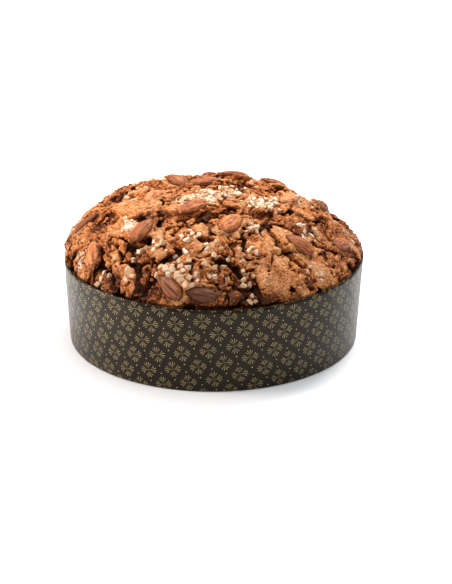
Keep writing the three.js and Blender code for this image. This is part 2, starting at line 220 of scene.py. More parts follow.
def dome_point(bearing, reach):
    """Points on the smooth dome, from bearings in degrees."""
    turn = np.radians(np.asarray(bearing, float))
    reach = np.asarray(reach, float)
    inner = np.maximum(1 - (reach / DOME_R) ** DOME_FLATNESS, 0)
    z = DOME_FOOT + DOME_RISE * inner**DOME_SHOULDER
    return np.stack([reach * np.sin(turn) - lean_at(z), -reach * np.cos(turn), z], -1)


def make_mesh(name, points, faces, smooth_shading=True):
    """An object from points in millimetres and an array of faces with one corner count."""
    mesh = bpy.data.meshes.new(name)
    faces = np.asarray(faces)
    corners = faces.shape[1]
    mesh.vertices.add(len(points))
    mesh.vertices.foreach_set("co", (np.asarray(points) / 1000).astype(np.float32).ravel())
    mesh.loops.add(faces.size)
    mesh.loops.foreach_set("vertex_index", faces.astype(np.int32).ravel())
    mesh.polygons.add(len(faces))
    mesh.polygons.foreach_set("loop_start", np.arange(len(faces), dtype=np.int32) * corners)
    mesh.polygons.foreach_set("use_smooth", np.full(len(faces), smooth_shading))
    mesh.update(calc_edges=True)
    made = bpy.data.objects.new(name, mesh)
    bpy.context.scene.collection.objects.link(made)
    return made


def mesh_points(mesh):
    """A mesh's vertices as an array, in metres."""
    points = np.empty(len(mesh.vertices) * 3, np.float32)
    mesh.vertices.foreach_get("co", points)
    return points.reshape(-1, 3)


def add_attribute(piece, name, values):
    values = np.asarray(values, np.float32)
    kind, key = ("FLOAT_VECTOR", "vector") if values.ndim == 2 else ("FLOAT", "value")
    layer = piece.data.attributes.new(name, kind, "POINT")
    layer.data.foreach_set(key, values.ravel())


def add_map(mesh, name, places):
    mesh.uv_layers.new(name=name).data.foreach_set("uv", places.astype(np.float32).ravel())


# ---- camera, light and floor ----
def make_studio():
    scene = bpy.context.scene
    scene.view_settings.view_transform = "Standard"
    scene.view_settings.look = "None"

    elevation = math.radians(CAMERA_ELEVATION)
    back = Vector((0, -math.cos(elevation), math.sin(elevation)))
    up = Vector((0, math.sin(elevation), math.cos(elevation)))
    lens = bpy.data.cameras.new("camera")
    lens.lens = CAMERA_LENS
    lens.sensor_width = 36
    lens.clip_end = 50
    camera = bpy.data.objects.new("camera", lens)
    camera.location = MIDDLE + CAMERA_DISTANCE * back
    aim = MIDDLE + Vector((SHIFT_RIGHT, 0, 0)) - SHIFT_DOWN * up
    camera.rotation_euler = (aim - camera.location).to_track_quat("-Z", "Y").to_euler()
    scene.collection.objects.link(camera)
    scene.camera = camera

    for name, place, target, size, power, colour in LAMPS:
        light = bpy.data.lights.new(name, "AREA")
        light.shape = "RECTANGLE"
        light.size, light.size_y = size
        light.energy = power
        light.color = colour
        lamp = bpy.data.objects.new(name, light)
        lamp.location = place
        lamp.rotation_euler = (Vector(target) - Vector(place)).to_track_quat("-Z", "Y").to_euler()
        scene.collection.objects.link(lamp)

    world = bpy.data.worlds.new("studio")
    world.use_nodes = True
    background = world.node_tree.nodes["Background"]
    background.inputs["Color"].default_value = (1, 1, 1, 1)
    background.inputs["Strength"].default_value = WORLD_STRENGTH
    scene.world = world

    corners = [(-1, -1), (1, -1), (1, 1), (-1, 1)]
    points = [(FLOOR_HALF * x, FLOOR_HALF * y, FLOOR_LEVEL) for x, y in corners]
    floor = make_mesh("floor", points, [(0, 1, 2, 3)])
    _, shader = new_material("studio_floor", floor)
    shader.inputs["Base Color"].default_value = (0.92, 0.94, 0.965, 1)
    shader.inputs["Roughness"].default_value = 0.9


# ---- shader nodes ----
def new_material(name, piece):
    """A material on a piece; returns its node tree and its Principled shader."""
    material = bpy.data.materials.new(name)
    material.use_nodes = True
    piece.data.materials.clear()
    piece.data.materials.append(material)
    return material.node_tree, material.node_tree.nodes["Principled BSDF"]


def node(tree, kind, inputs=None, **settings):
    """A shader node; its inputs are values, or sockets to link from."""
    made = tree.nodes.new("ShaderNode" + kind)
    for key, value in settings.items():
        setattr(made, key, value)
    for key, value in (inputs or {}).items():
        if isinstance(value, bpy.types.NodeSocket):
            tree.links.new(value, made.inputs[key])
        else:
            made.inputs[key].default_value = value
    return made


def maths(tree, operation, *values):
    inputs = dict(enumerate(values))
    return node(tree, "Math", inputs, operation=operation).outputs[0]


def vector_maths(tree, operation, a, b, output=0):
    return node(tree, "VectorMath", {0: a, 1: b}, operation=operation).outputs[output]


def product(tree, a, b):
    return maths(tree, "MULTIPLY", a, b)


def added(tree, base, value, amount):
    """base and amount times value."""
    return maths(tree, "MULTIPLY_ADD", value, amount, base)


def varied(tree, base, pattern, amount):
    """base, moved by amount times a pattern's swing about one half."""
    return added(tree, base, maths(tree, "SUBTRACT", pattern, 0.5), amount)


def split_vector(tree, vector):
    return node(tree, "SeparateXYZ", {"Vector": vector}).outputs


def remap(tree, value, low, high, to_low=0.0, to_high=1.0):
    inputs = {"Value": value, 1: low, 2: high, 3: to_low, 4: to_high}
    return node(tree, "MapRange", inputs, interpolation_type="SMOOTHSTEP").outputs[0]


def blend_colours(tree, share, a, b):
    """The colour a, turned by a share towards b, which is a socket or three numbers."""
    inputs = {0: share, 6: a, 7: (*b, 1) if isinstance(b, tuple) else b}
    return node(tree, "Mix", inputs, data_type="RGBA").outputs[2]


def ramp(tree, value, stops):
    made = node(tree, "ValToRGB", {"Fac": value})
    elements = made.color_ramp.elements
    while len(elements) < len(stops):
        elements.new(0.5)
    for element, (position, colour) in zip(elements, stops):
        element.position = position
        element.color = (*colour, 1)
    return made.outputs["Color"]


def attribute(tree, name):
    return node(tree, "Attribute", attribute_name=name).outputs


def noise_texture(tree, vector, scale, detail, roughness, distortion=0.0):
    inputs = {"Vector": vector, "Scale": scale, "Detail": detail, "Roughness": roughness}
    return node(tree, "TexNoise", inputs | {"Distortion": distortion}).outputs["Fac"]


def cells_texture(tree, vector, scale):
    return node(tree, "TexVoronoi", {"Vector": vector, "Scale": scale}).outputs["Distance"]


def object_place(tree):
    return node(tree, "TexCoord").outputs["Object"]


def bump(tree, height, distance, strength=1.0, after=None):
    inputs = {"Height": height, "Distance": distance, "Strength": strength}
    if after is not None:
        inputs["Normal"] = after
    return node(tree, "Bump", inputs).outputs["Normal"]


def dress(tree, shader, colour, relief, roughness, specular=0.5):
    """Gives a shader its colour and relief, and how it shines."""
    tree.links.new(colour, shader.inputs["Base Color"])
    tree.links.new(relief, shader.inputs["Normal"])
    shader.inputs["Roughness"].default_value = roughness
    shader.inputs["Specular IOR Level"].default_value = specular


# ---- the almonds' places, read from the CAD ----
def node_points(name):
    """A CAD node's distinct vertices, in millimetres."""
    points = mesh_points(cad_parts[name].data)
    return np.unique(np.round(points * 1000.0, 3), axis=0)


def almond_seat(name):
    """Middle, axes (along to the pointed end, across, thin) and sizes of a CAD almond."""
    points = node_points(name)
    middle = points.mean(0)
    _, vectors = np.linalg.eigh(np.cov((points - middle).T))
    along, thin = vectors[:, 2], vectors[:, 0]
    reach = (points - middle) @ along
    if reach.max() < -reach.min():
        along = -along
    if thin @ (middle - HEART) < 0:
        thin = -thin
    across = np.cross(thin, along)
    axes = np.stack([along, across, thin])
    local = (points - middle) @ axes.T
    low, high = local.min(0), local.max(0)
    width = WIDTHS.get(name, USUAL_WIDTH)
    return middle + axes.T @ ((low + high) / 2), axes, (high - low) * (1, width, 1)


def almond_fullness(s):
    """An almond's breadth against its widest, at a share of its length."""
    s = np.clip(s, 0.001, 0.999)
    return s**0.5 * (1 - s) ** 0.72 / 0.4395


def almond_distance(points, seat, flat=False):
    """Rough signed distance from points to an almond, or to its outline, and heights over it."""
    middle, axes, size = seat
    local = (points - middle) @ axes.T
    fullness = np.maximum(almond_fullness(local[:, 0] / size[0] + 0.5), 0.12)
    spread = np.hypot(local[:, 1] / (size[1] / 2), (not flat) * local[:, 2] / (size[2] / 2))
    side = (spread - fullness) * size[2] * 0.62
    ends = np.abs(local[:, 0]) - size[0] / 2
    return np.maximum(side, ends), local[:, 2]


ALMOND_NODES = sorted(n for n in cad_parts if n.startswith("almond"))
SUGAR_NODES = sorted(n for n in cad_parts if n.startswith("pearl_sugar"))
SEATS = {name: almond_seat(name) for name in ALMOND_NODES}


# ---- the crust ----
AXES = (
    np.arange(-109, 109 + STEP, STEP),
    np.arange(-109, 109 + STEP, STEP),
    np.arange(CRUST_FOOT, 112, STEP),
)


def spline_weights(coords, cell):
    """Cubic B-spline weights that spread a coarse lattice over coords."""
    t = coords / cell
    i = np.floor(t).astype(int)
    f = t - i
    low = i.min()
    weights = np.zeros((len(coords), i.max() - low + 4))
    parts = (
        (1 - f) ** 3, 3 * f**3 - 6 * f**2 + 4, -3 * f**3 + 3 * f**2 + 3 * f + 1, f**3,
    )
    for k, part in enumerate(parts):
        weights[np.arange(len(coords)), i - low + k] = part / 6
    return weights


def grid_noise(cell, seed):
    """Smooth noise over the whole grid, of unit spread."""
    wx, wy, wz = (spline_weights(axis, cell) for axis in AXES)
    rng = np.random.default_rng(seed)
    lattice = rng.normal(size=(wx.shape[1], wy.shape[1], wz.shape[1]))
    field = np.tensordot(wx, lattice, (1, 0))
    field = np.tensordot(field, wy, (1, 1))
    field = np.tensordot(field, wz, (1, 1))
    return (field / 0.33).astype(np.float32)


def nearest_two(points, centres):
    """For each point, the nearest centre, its distance and the next one's."""
    first = np.full(len(points), 1e9, np.float32)
    second = first.copy()
    which = np.zeros(len(points), np.int32)
    for i, centre in enumerate(centres.astype(np.float32)):
        d = np.sqrt(((points - centre) ** 2).sum(1))
        closer = d < first
        second = np.where(closer, first, np.minimum(second, d))
        first = np.where(closer, d, first)
        which[closer] = i
    return which, first, second


def cell_distances(points, cell, seed):
    """Distances to the nearest and next nearest of points strewn one to a cube of side cell."""
    at = points / cell
    base = np.floor(at).astype(np.int32)
    base -= base.min(0) - 1
    at = at - np.floor(at)
    rng = np.random.default_rng(seed)
    strewn = rng.random((*(base.max(0) + 2), 3)).astype(np.float32)
    first = np.full(len(points), 9.0, np.float32)
    second = first.copy()
    for step in np.ndindex(3, 3, 3):
        i, j, k = (n - 1 for n in step)
        other = strewn[base[:, 0] + i, base[:, 1] + j, base[:, 2] + k]
        d = np.sqrt(((other + (i, j, k) - at) ** 2).sum(1))
        second = np.where(d < first, first, np.minimum(second, d))
        first = np.minimum(first, d)
    return first * cell, second * cell


def all_plates():
    """Centres, and rises, roughnesses and tones: the placed plates, then a spiral in the gaps."""
    rng = np.random.default_rng(5)
    centres = [dome_point(b, r) for b, r, *_ in PLATES]
    facts = [facts for _, _, *facts in PLATES]
    golden = 180 * (3 - math.sqrt(5))
    for i in range(SPIRAL_PLATES):
        centre = dome_point(i * golden, (DOME_R - 3) * math.sqrt((i + 0.5) / SPIRAL_PLATES))
        if min(np.linalg.norm(centre - other) for other in centres) > PLATE_SPACING:
            centres.append(centre)
            facts.append([0.6 * (i % 3 - 1), rng.uniform(0.1, 0.9), rng.uniform(-0.4, 0.5)])
    return np.array(centres), np.array(facts)


def distance_to_path(points, path):
    """Distances from points to a line through the path's points."""
    best = np.full(len(points), 1e9)
    for a, b in zip(path[:-1], path[1:]):
        along = np.clip((points - a) @ (b - a) / ((b - a) @ (b - a)), 0, 1)
        best = np.minimum(best, np.linalg.norm(points - a - along[:, None] * (b - a), axis=1))
    return best


def carve_crust():
    """The crust's signed field over the grid, negative inside, and what colours it."""
    x, y, z = np.meshgrid(*AXES, indexing="ij")
    reach = np.hypot(x + lean_at(z), y)
    rise = np.maximum((z - DOME_FOOT) / DOME_RISE, 0)
    gauge = rise ** (1 / DOME_SHOULDER) + (reach / DOME_R) ** DOME_FLATNESS - 1
    slopes = np.gradient(gauge, STEP)
    steepness = np.maximum(np.sqrt(sum(g * g for g in slopes)), 1e-4)
    over = np.sign(gauge) * np.minimum(np.abs(gauge) / steepness, 30)
    band = (over > BAND[0]) & (over < BAND[1])

    points = np.stack([x[band], y[band], z[band]], -1).astype(np.float32)
    outward = np.stack([g[band] / steepness[band] for g in slopes], -1)
    s0 = over[band].astype(np.float32)
    noises = {c: grid_noise(c, int(c * 10))[band] for c in (14, 7, 4, 2.4, 1.5)}
    warp = np.stack([grid_noise(6, 61 + i)[band] for i in range(3)], -1) * 1.7
    warp += np.stack([grid_noise(2.2, 71 + i)[band] for i in range(3)], -1) * 0.7

    # Crumbs: round grains with sharp creases between them, coarse and fine.
    jitter = 0.35 * warp
    grain_first, grain_second = cell_distances(points + jitter, CRUMB, 4)
    grain = 1 - grain_first / (CRUMB / 2)
    fine_first, _ = cell_distances(points + jitter, FINE_CRUMB, 9)
    fine_grain = 1 - fine_first / (FINE_CRUMB / 2)
    # This mask marks the creases between crumbs, where the colour is darkened as painted shade.
    crease = 1 - smooth((grain_second - grain_first) / 2, 0, 0.5)

    # Plates, with ragged, undercut edges.
    centres, facts = all_plates()
    which, first, second = nearest_two(points + warp, centres)
    edge = (second - first) / 2
    plate_rise, rough, tone = (facts[which, i] for i in range(3))
    crumbly = smooth(rough + 0.32 * noises[7], 0.3, 0.85)
    rng = np.random.default_rng(11)
    tilts = rng.normal(size=(len(centres), 3)) * 0.07
    tilt = ((points - centres[which]) * tilts[which]).sum(1)
    height = points[:, 2]
    turn = np.degrees(np.arctan2(points[:, 0], -points[:, 1]))
    r = np.hypot(points[:, 0], points[:, 1])
    bulge = smooth(height, 60, 66) * (1 - smooth(height, 72, 86))
    swell = BACK_SWELL * np.exp(-(((turn - BACK_SWELL_BEARING) / 32) ** 2))
    swell = swell * smooth(r, 35, 65) * smooth(height, 62, 70)
    top = 0.8 * plate_rise + np.clip(tilt, -1.5, 1.5) - 1.3 * np.exp(-np.clip(edge, 0, 4) / 1.2)
    top += 0.5 + 0.4 * noises[7] + (0.2 + 0.4 * crumbly) * noises[4]
    left = swollen(turn)
    top += 1.5 * bulge + swell
    top += 1.8 * left * smooth(height, 62, 64) * (1 - smooth(height, 70, 80))
    smooth_top = top.copy()
    top += (0.25 + 0.75 * crumbly) * grain + (0.22 + 0.3 * crumbly) * fine_grain
    top += (0.12 + 0.2 * crumbly) * noises[2.4]

    # Cracks across the plates, and lost flakes where they are rough.
    chunk_first, chunk_second = cell_distances(points + 1.3 * warp, 11, 3)
    chunk_edge = (chunk_second - chunk_first) / 2
    cracked = smooth(noises[14] + rough, -0.6, 0.4)
    top -= CRACK_DEPTH * cracked * (1 - smooth(chunk_edge, 0.05, 0.8))
    flakes = smooth(noises[7] + 0.6 * noises[4], 0.7, 1.1) * crumbly
    top -= FLAKE_DEPTH * flakes

    # Gaps between the plates, down to the body.
    deep = np.clip(smooth_top - s0 - 1.2, 0, 6)
    gap = np.clip(0.45 + 0.6 * noises[7] + 0.5 * noises[4] + 0.3 * rough, -0.5, 1.9) + 0.45 * deep
    field = soft_max(s0 - top, gap - 0.6 * bulge - edge, 0.35)
    body = s0 + GLAZE_DEPTH + 1.1 * noises[7] + 0.9 * noises[4] + 0.5 * noises[2.4] - bulge - swell
    body -= 1.5 * grain + 0.6 * fine_grain
    field = soft_min(field, body, 0.3)

    # Open cracks.
    for path, half_width, depth in CUTS:
        path = dome_point([p[0] for p in path], [p[1] for p in path])
        near = np.linalg.norm(points - path.mean(0), axis=1) < 34
        lifted = points[near] - outward[near] * np.clip(s0[near], -depth, 4)[:, None]
        taper = 0.95 * half_width * (1 - 0.35 * np.clip(-s0[near] / depth, 0, 1))
        d = distance_to_path(lifted, path) - taper
        d += 0.8 * noises[4][near] + 0.5 * noises[1.5][near] - 0.5 * grain[near]
        d = np.maximum(d, -(s0[near] + depth))
        field[near] = soft_max(field[near], -d, 0.3)

    # Pores and small holes.
    pore_first, _ = cell_distances(points, 5.0, 8)
    pores = pore_first - np.clip(0.2 + 0.5 * noises[7] + 0.9 * crumbly, 0, 1.5)
    field = soft_max(field, -pores, 0.2)
    hole_first, _ = cell_distances(points, 2.9, 19)
    holes = hole_first - np.clip(0.1 + 0.4 * noises[4] + 0.7 * crumbly, 0, 0.95)
    field = soft_max(field, -holes, 0.15)
    field += 0.14 * noises[1.5]

    # Almonds lie in a cradle of glaze.
    for name, seat in SEATS.items():
        near = np.linalg.norm(points - seat[0], axis=1) < 17
        d, lifted = almond_distance(points[near], seat)
        ragged = 0.5 * noises[4][near] + 0.3 * noises[1.5][near]
        ragged += 0.5 * grain[near]
        rise = SUNKEN.get(name, 0)
        collar = np.maximum(d - 0.9 - ragged - rise, lifted + 0.5 - 1.5 * ragged - rise)
        field[near] = soft_min(field[near], collar, 0.6)
        outline = almond_distance(points[near], seat, flat=True)[0]
        cleared = np.maximum(outline - 0.5 + 0.6 * ragged + 0.6 * rise, 0.1 + rise - lifted)
        field[near] = np.maximum(field[near], -cleared)
        field[near] = np.maximum(field[near], -(d - 0.05))

    # The crust draws back from the paper all round, and stays inside the mould below the rim.
    recess = 2.2 + 0.9 * noises[14] + 0.7 * noises[7] + 1.6 * np.exp(-(((turn + 12) / 16) ** 2))
    recess *= 1 - left
    recess = np.clip(recess, 0, 5) * np.exp(-(((height - 60.5) / 3.4) ** 2))
    field = soft_max(field, r - RECESS_R + recess - 0.3 * grain, 0.4)
    limit = np.where(height > OVERHANG_LEVEL, CRUST_R, INNER_R - DRAWN_IN * left)
    field = np.maximum(field, r - limit)
    plain = s0 + recess
    carved = smooth(height, *CARVED_ABOVE)
    field = plain * (1 - carved) + field * carved

    whole = np.where(over < 0, -FAR, FAR).astype(np.float32)
    whole[band] = field
    frost = np.zeros(len(points))
    for bearing, at, radius, _, _, dust in SUGAR:
        d = np.linalg.norm(points - dome_point(bearing, at), axis=1) + 2.5 * noises[7]
        frost = np.maximum(frost, dust * (1 - smooth(d, 0.45 * radius, 1.15 * radius)))
    grids = {
        "over": s0, "under": smooth_top - s0, "rough": crumbly, "tone": tone, "frost": frost,
        "crease": crease,
    }
    for key, values in grids.items():
        grids[key] = np.zeros(over.shape, np.float32)
        grids[key][band] = values
    grids["over"] = np.where(band, grids["over"], np.clip(over, -2 * FAR, FAR)).astype(np.float32)
    return whole, grids


def largest_shell(points, quads):
    """Keeps the biggest connected shell, and drops crumbs and closed hollows."""
    label = np.arange(len(points))
    a = quads.ravel()
    b = np.roll(quads, 1, axis=1).ravel()
    while True:
        low = np.minimum(label[a], label[b])
        new = label.copy()
        np.minimum.at(new, a, low)
        np.minimum.at(new, b, low)
        new = new[new]
        if (new == label).all():
            break
        label = new
    values, counts = np.unique(label, return_counts=True)
    keep = label == values[counts.argmax()]
    renumber = np.cumsum(keep) - 1
    return points[keep], renumber[quads[keep[quads[:, 0]]]]


def sample(grid, points):
    """Trilinear samples of a grid at points in millimetres."""
    at = (points - [axis[0] for axis in AXES]) / STEP
    at = np.clip(at, 0, np.array(grid.shape) - 1.001)
    i = at.astype(int)
    f = at - i
    total = np.zeros(len(points))
    for corner in np.ndindex(2, 2, 2):
        weight = np.prod(np.where(corner, f, 1 - f), axis=1)
        total += weight * grid[tuple((i + corner).T)]
    return total


def make_crust():
    """The crust as a mesh, with what colours it as attributes."""
    whole, grids = carve_crust()
    volume = openvdb.FloatGrid(FAR)
    volume.copyFromArray(whole)
    points, _, quads = volume.convertToPolygons(0.0, 0.0)
    points = points * STEP + [axis[0] for axis in AXES]
    points, quads = largest_shell(points.astype(float), quads.astype(int))
    shell = make_mesh("shell", points, quads[:, ::-1])
    thin = shell.modifiers.new("thin", "DECIMATE")
    thin.ratio = min(1.0, CRUST_TRIANGLES / (2 * len(quads)))
    depsgraph = bpy.context.evaluated_depsgraph_get()
    thinned = bpy.data.meshes.new_from_object(shell.evaluated_get(depsgraph))
    bpy.data.objects.remove(shell)
    thinned.calc_loop_triangles()
    points = mesh_points(thinned).astype(float) * 1000
    faces = np.empty(len(thinned.loop_triangles) * 3, np.int32)
    thinned.loop_triangles.foreach_get("vertices", faces)
    faces = faces.reshape(-1, 3)
    bpy.data.meshes.remove(thinned)
    colours = {key: sample(grid, points) for key, grid in grids.items()}

    # The plain part below is stretched down into the mould, and its floor closed by one face.
    floor_level = points[:, 2].min()
    low = points[:, 2] < STRETCHED_BELOW
    share = (STRETCHED_BELOW - points[low, 2]) / (STRETCHED_BELOW - floor_level)
    flat = (points[faces, 2] < floor_level + 0.01).all(1)
    points[low, 2] = STRETCHED_BELOW - share * (STRETCHED_BELOW - LOAF_BOTTOM)
    taper = 1 - share * (MOULD_RIM_R - MOULD_FOOT_R) * 0.93 / MOULD_RIM_R
    points[low, :2] *= taper[:, None]
    faces = faces[~flat]
    used = np.unique(faces)
    renumber = np.full(len(points), -1)
    renumber[used] = np.arange(len(used))
    crust = make_mesh("crust", points[used], renumber[faces])
    for key, values in colours.items():
        add_attribute(crust, key, values[used])
    close_floor(crust)
    lay_out_for_baking(crust)
    return crust


def close_floor(piece):
    """Fills the open loop at a mesh's lowest edge."""
    grown = bmesh.new()
    grown.from_mesh(piece.data)
    rim = [edge for edge in grown.edges if edge.is_boundary]
    bmesh.ops.contextual_create(grown, geom=rim)
    bmesh.ops.recalc_face_normals(grown, faces=grown.faces)
    grown.to_mesh(piece.data)
    grown.free()


def lay_out_for_baking(crust):
    """A round map for baking: the dome fills most of it, the sides its edge, the floor a corner."""
    mesh = crust.data
    points = mesh_points(mesh) * 1000
    away = points - HEART
    down = np.degrees(np.arctan2(np.hypot(away[:, 0], away[:, 1]), away[:, 2]))
    seen = 80  # the dome lies within this angle from straight up
    spread = 0.44 * np.minimum(down, seen) / seen + 0.05 * np.maximum(down - seen, 0) / (180 - seen)
    turn = np.arctan2(away[:, 0], away[:, 1])
    places = 0.5 + np.stack([spread * np.sin(turn), spread * np.cos(turn)], -1)
    corners = np.empty(len(mesh.loops), np.int32)
    mesh.loops.foreach_get("vertex_index", corners)
    laid = places[corners]
    floor = max(mesh.polygons, key=lambda face: face.loop_total)
    own = slice(floor.loop_start, floor.loop_start + floor.loop_total)
    laid[own] = 0.06 + 0.05 * points[corners[own], :2] / MOULD_RIM_R
    add_map(mesh, "OFBake", laid)


def crust_material(crust):
    tree, shader = new_material("baked_crust", crust)
    place = object_place(tree)
    over, under, rough, tone, frost, crease = (
        attribute(tree, name)["Fac"]
        for name in ("over", "under", "rough", "tone", "frost", "crease")
    )
    blotches = noise_texture(tree, place, 85, 4, 0.6)
    grit = noise_texture(tree, place, 520, 4, 0.7)
    crumbs = cells_texture(tree, place, 640)
    bits = cells_texture(tree, place, 980)

    # Shade: pale on the plates' tops and toasted where rough; darker low on the dome, in creases,
    # between crumbs and under the tops, all painted shade.
    height = split_vector(tree, place)["Z"]
    # Lighter up the dome and darker low down: painted shade.
    shade = added(tree, remap(tree, height, 0.062, 0.1, 0.58, 0.82), tone, 0.18)
    shade = varied(tree, shade, blotches, 1.1)
    shade = varied(tree, shade, grit, 1.7)
    shade = added(tree, shade, rough, -0.15)
    # Darker in the creases between crumbs: painted shade.
    shade = added(tree, shade, crease, -0.28)
    # Lighter in the crumbs' middles and darker at their edges: painted light and shade.
    crumb_shade = remap(tree, crumbs, 0.25, 0.75, 0.08, -0.2)
    shade = added(tree, shade, crumb_shade, remap(tree, rough, 0, 0.6, 0.45, 1))
    # Darker at the edges of small cells, as in tiny pits: painted shade.
    shade = maths(tree, "ADD", shade, remap(tree, bits, 0.3, 0.75, 0.03, -0.14))
    # Darker the further under the plates' tops, in the recesses: painted shade.
    shade = maths(tree, "SUBTRACT", shade, remap(tree, under, 0.6, 4.2, 0.0, 0.34))
    colour = ramp(
        tree, shade,
        [(0.0, (0.075, 0.019, 0.005)), (0.2, (0.19, 0.048, 0.010)), (0.4, (0.38, 0.105, 0.022)),
         (0.6, (0.58, 0.185, 0.040)), (0.8, (0.68, 0.29, 0.10)), (1.0, (0.74, 0.44, 0.22))],
    )

    # Broken edges just under the plates' tops are a vivid orange: the crumb's own colour, made
    # brighter as painted light where the thin edges catch it; smooth tops are tan.
    broken_edge_glow = product(tree, remap(tree, under, 0.5, 1.3), remap(tree, under, 3.6, 2.0))
    broken_edge_glow = product(tree, broken_edge_glow, remap(tree, shade, 0.2, 0.6, 0.0, 0.5))
    colour = blend_colours(tree, broken_edge_glow, colour, (0.70, 0.21, 0.035))
    glaze = product(tree, remap(tree, rough, 0.75, 0.1), remap(tree, under, 1.6, 0.3))
    glaze = product(tree, glaze, remap(tree, blotches, 0.38, 0.58, 0.1, 0.6))
    matt = ramp(
        tree, grit,
        [(0.3, (0.32, 0.115, 0.038)), (0.5, (0.54, 0.25, 0.10)), (0.7, (0.76, 0.46, 0.25))],
    )
    colour = blend_colours(tree, glaze, colour, matt)

    # Frosted sugar in the glaze.
    melted = varied(tree, frost, grit, 2.2)
    melted = product(tree, remap(tree, melted, 0.25, 0.95), remap(tree, under, 1.8, 0.5))
    colour = blend_colours(tree, product(tree, melted, 0.88), colour, (0.92, 0.79, 0.65))

    # Deep gaps are painted nearly black, as shade.
    dark = remap(tree, product(tree, over, -1.0), 3.6, 7.5)
    colour = blend_colours(tree, product(tree, dark, 0.92), colour, (0.030, 0.009, 0.003))

    relief = bump(tree, grit, 0.0012)
    relief = bump(tree, product(tree, crumbs, -1.0), 0.0009, 0.8, relief)
    relief = bump(tree, product(tree, bits, -1.0), 0.0005, 0.6, relief)
    dress(tree, shader, colour, relief, roughness=0.6, specular=0.18)


# ---- almonds ----
def make_almond(number, seat):
    """A whole almond with a wrinkled skin, in its CAD place."""
    middle, axes, size = seat
    rng = np.random.default_rng(100 + number)
    rows, sides = ((44, 52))
    s = (1 - np.cos(np.pi * np.arange(1, rows) / rows)) / 2
    turn = 2 * np.pi * np.arange(sides) / sides
    s, turn = np.meshgrid(s, turn, indexing="ij")
    fullness = almond_fullness(s)
    phase = rng.uniform(0, 6.28, 6)
    sway = 0.35 * np.sin(4 * s + phase[0]) + 0.2 * np.sin(9 * s + phase[1])
    veins = np.abs(np.sin(6.5 * turn + sway + phase[2])) ** 0.6
    veins += 0.6 * np.abs(np.sin(10 * turn - 1.4 * sway + phase[3] + 2 * s)) ** 0.7
    fade = np.clip(4.5 * s * (1 - s), 0, 1) ** 0.7
    dents = np.sin(2 * turn + phase[4]) * np.sin(5 * s + phase[5])
    swell = 0.975 + (0.075 * (veins - 1.1) + 0.02 * dents) * fade
    across = size[1] / 2 * fullness * swell * np.cos(turn)
    thin = size[2] / 2 * fullness * swell * np.sin(turn)
    length = (s - 0.5) * size[0]
    local = np.stack([length, across, thin], -1).reshape(-1, 3)
    ends = np.array([[-size[0] / 2, 0, 0], [size[0] / 2, 0, 0]])
    local = np.concatenate([local, ends])
    tail, tip = len(local) - 2, len(local) - 1
    i, j = np.meshgrid(np.arange(rows - 2), np.arange(sides), indexing="ij")
    a = (i * sides + j).ravel()
    b = (i * sides + (j + 1) % sides).ravel()
    quads = np.stack([a, b, b + sides, a + sides], 1)
    j = np.arange(sides)
    first = np.stack([np.full(sides, tail), (j + 1) % sides, j], 1)
    last = (rows - 2) * sides
    final = np.stack([np.full(sides, tip), last + j, last + (j + 1) % sides], 1)
    triangles = np.concatenate([quads[:, [0, 1, 2]], quads[:, [0, 2, 3]], first, final])
    almond = make_mesh(f"whole_almond_{number:02d}", local @ axes + middle, triangles)
    add_attribute(almond, "skin", local + [0, 0, SKIN_SHIFT * number])
    return almond


def almond_material(almond, number):
    usual = (0.8 + 0.06 * (number % 5), 0.1, 0.1 * (number % 3))
    # The brightness is each almond's own, and for almond 11 it is painted shade as well.
    brightness_and_shade, warm, coat = ALMOND_TINTS.get(number, usual)
    tree, shader = new_material(f"almond_skin_{number:02d}", almond)
    skin = attribute(tree, "skin")["Vector"]
    along = {"Vector": skin, "Scale": (0.06, 0.45, 0.45)}
    stretched = node(tree, "Mapping", along).outputs["Vector"]
    streaks = noise_texture(tree, stretched, 1.6, 4, 0.6, 0.4)
    specks = noise_texture(tree, skin, 2.2, 3, 0.6)
    shade = varied(tree, streaks, specks, 0.5)
    dark = tuple(c * brightness_and_shade for c in (0.11, 0.026, 0.008))
    mid = tuple(c * brightness_and_shade for c in (0.34 + 0.1 * warm, 0.092 + 0.03 * warm, 0.026))
    pale = tuple(c * brightness_and_shade for c in (0.56 + 0.1 * warm, 0.21 + 0.06 * warm, 0.078))
    colour = ramp(tree, shade, [(0.34, dark), (0.5, mid), (0.68, pale)])

    # Glaze covers it in patches, and its underside is painted darker, as shade.
    patches = noise_texture(tree, skin, 0.22, 3, 0.6)
    glazed = remap(tree, patches, 0.62 - 0.45 * coat, 0.78 - 0.45 * coat)
    glazed = product(tree, glazed, min(1.0, coat * 1.6))
    colour = blend_colours(tree, glazed, colour, (0.66 * min(brightness_and_shade, 1.2), 0.30, 0.12))
    above = maths(tree, "SUBTRACT", split_vector(tree, skin)["Z"], SKIN_SHIFT * number)
    underside_shade = remap(tree, above, 2.4, -0.8, 0.0, 0.75)
    colour = blend_colours(tree, underside_shade, colour, (0.085, 0.02, 0.006))
    relief = bump(tree, specks, 0.0002, 0.5, bump(tree, streaks, 0.0014))
    dress(tree, shader, colour, relief, roughness=0.5, specular=0.25)


# ---- pearl sugar ----
def rounded_block(power):
    """Points and faces of a cube of side 2 with worn edges, nine faces to a side."""
    line = (-1, -0.72, 0.72, 1)
    numbers, faces = {}, []
    for axis in range(3):
        for side in (-1, 1):
            for i, j in np.ndindex(3, 3):
                quad = []
                for u, v in ((i, j), (i + 1, j), (i + 1, j + 1), (i, j + 1)):
                    point = tuple(np.roll((side, line[u], line[v]), axis))
                    quad.append(numbers.setdefault(point, len(numbers)))
                faces.append(quad if side > 0 else quad[::-1])
    points = np.array(list(numbers), float)
    spread = (np.abs(points) ** power).sum(1) ** (1 / power)
    return points / spread[:, None], np.array(faces)


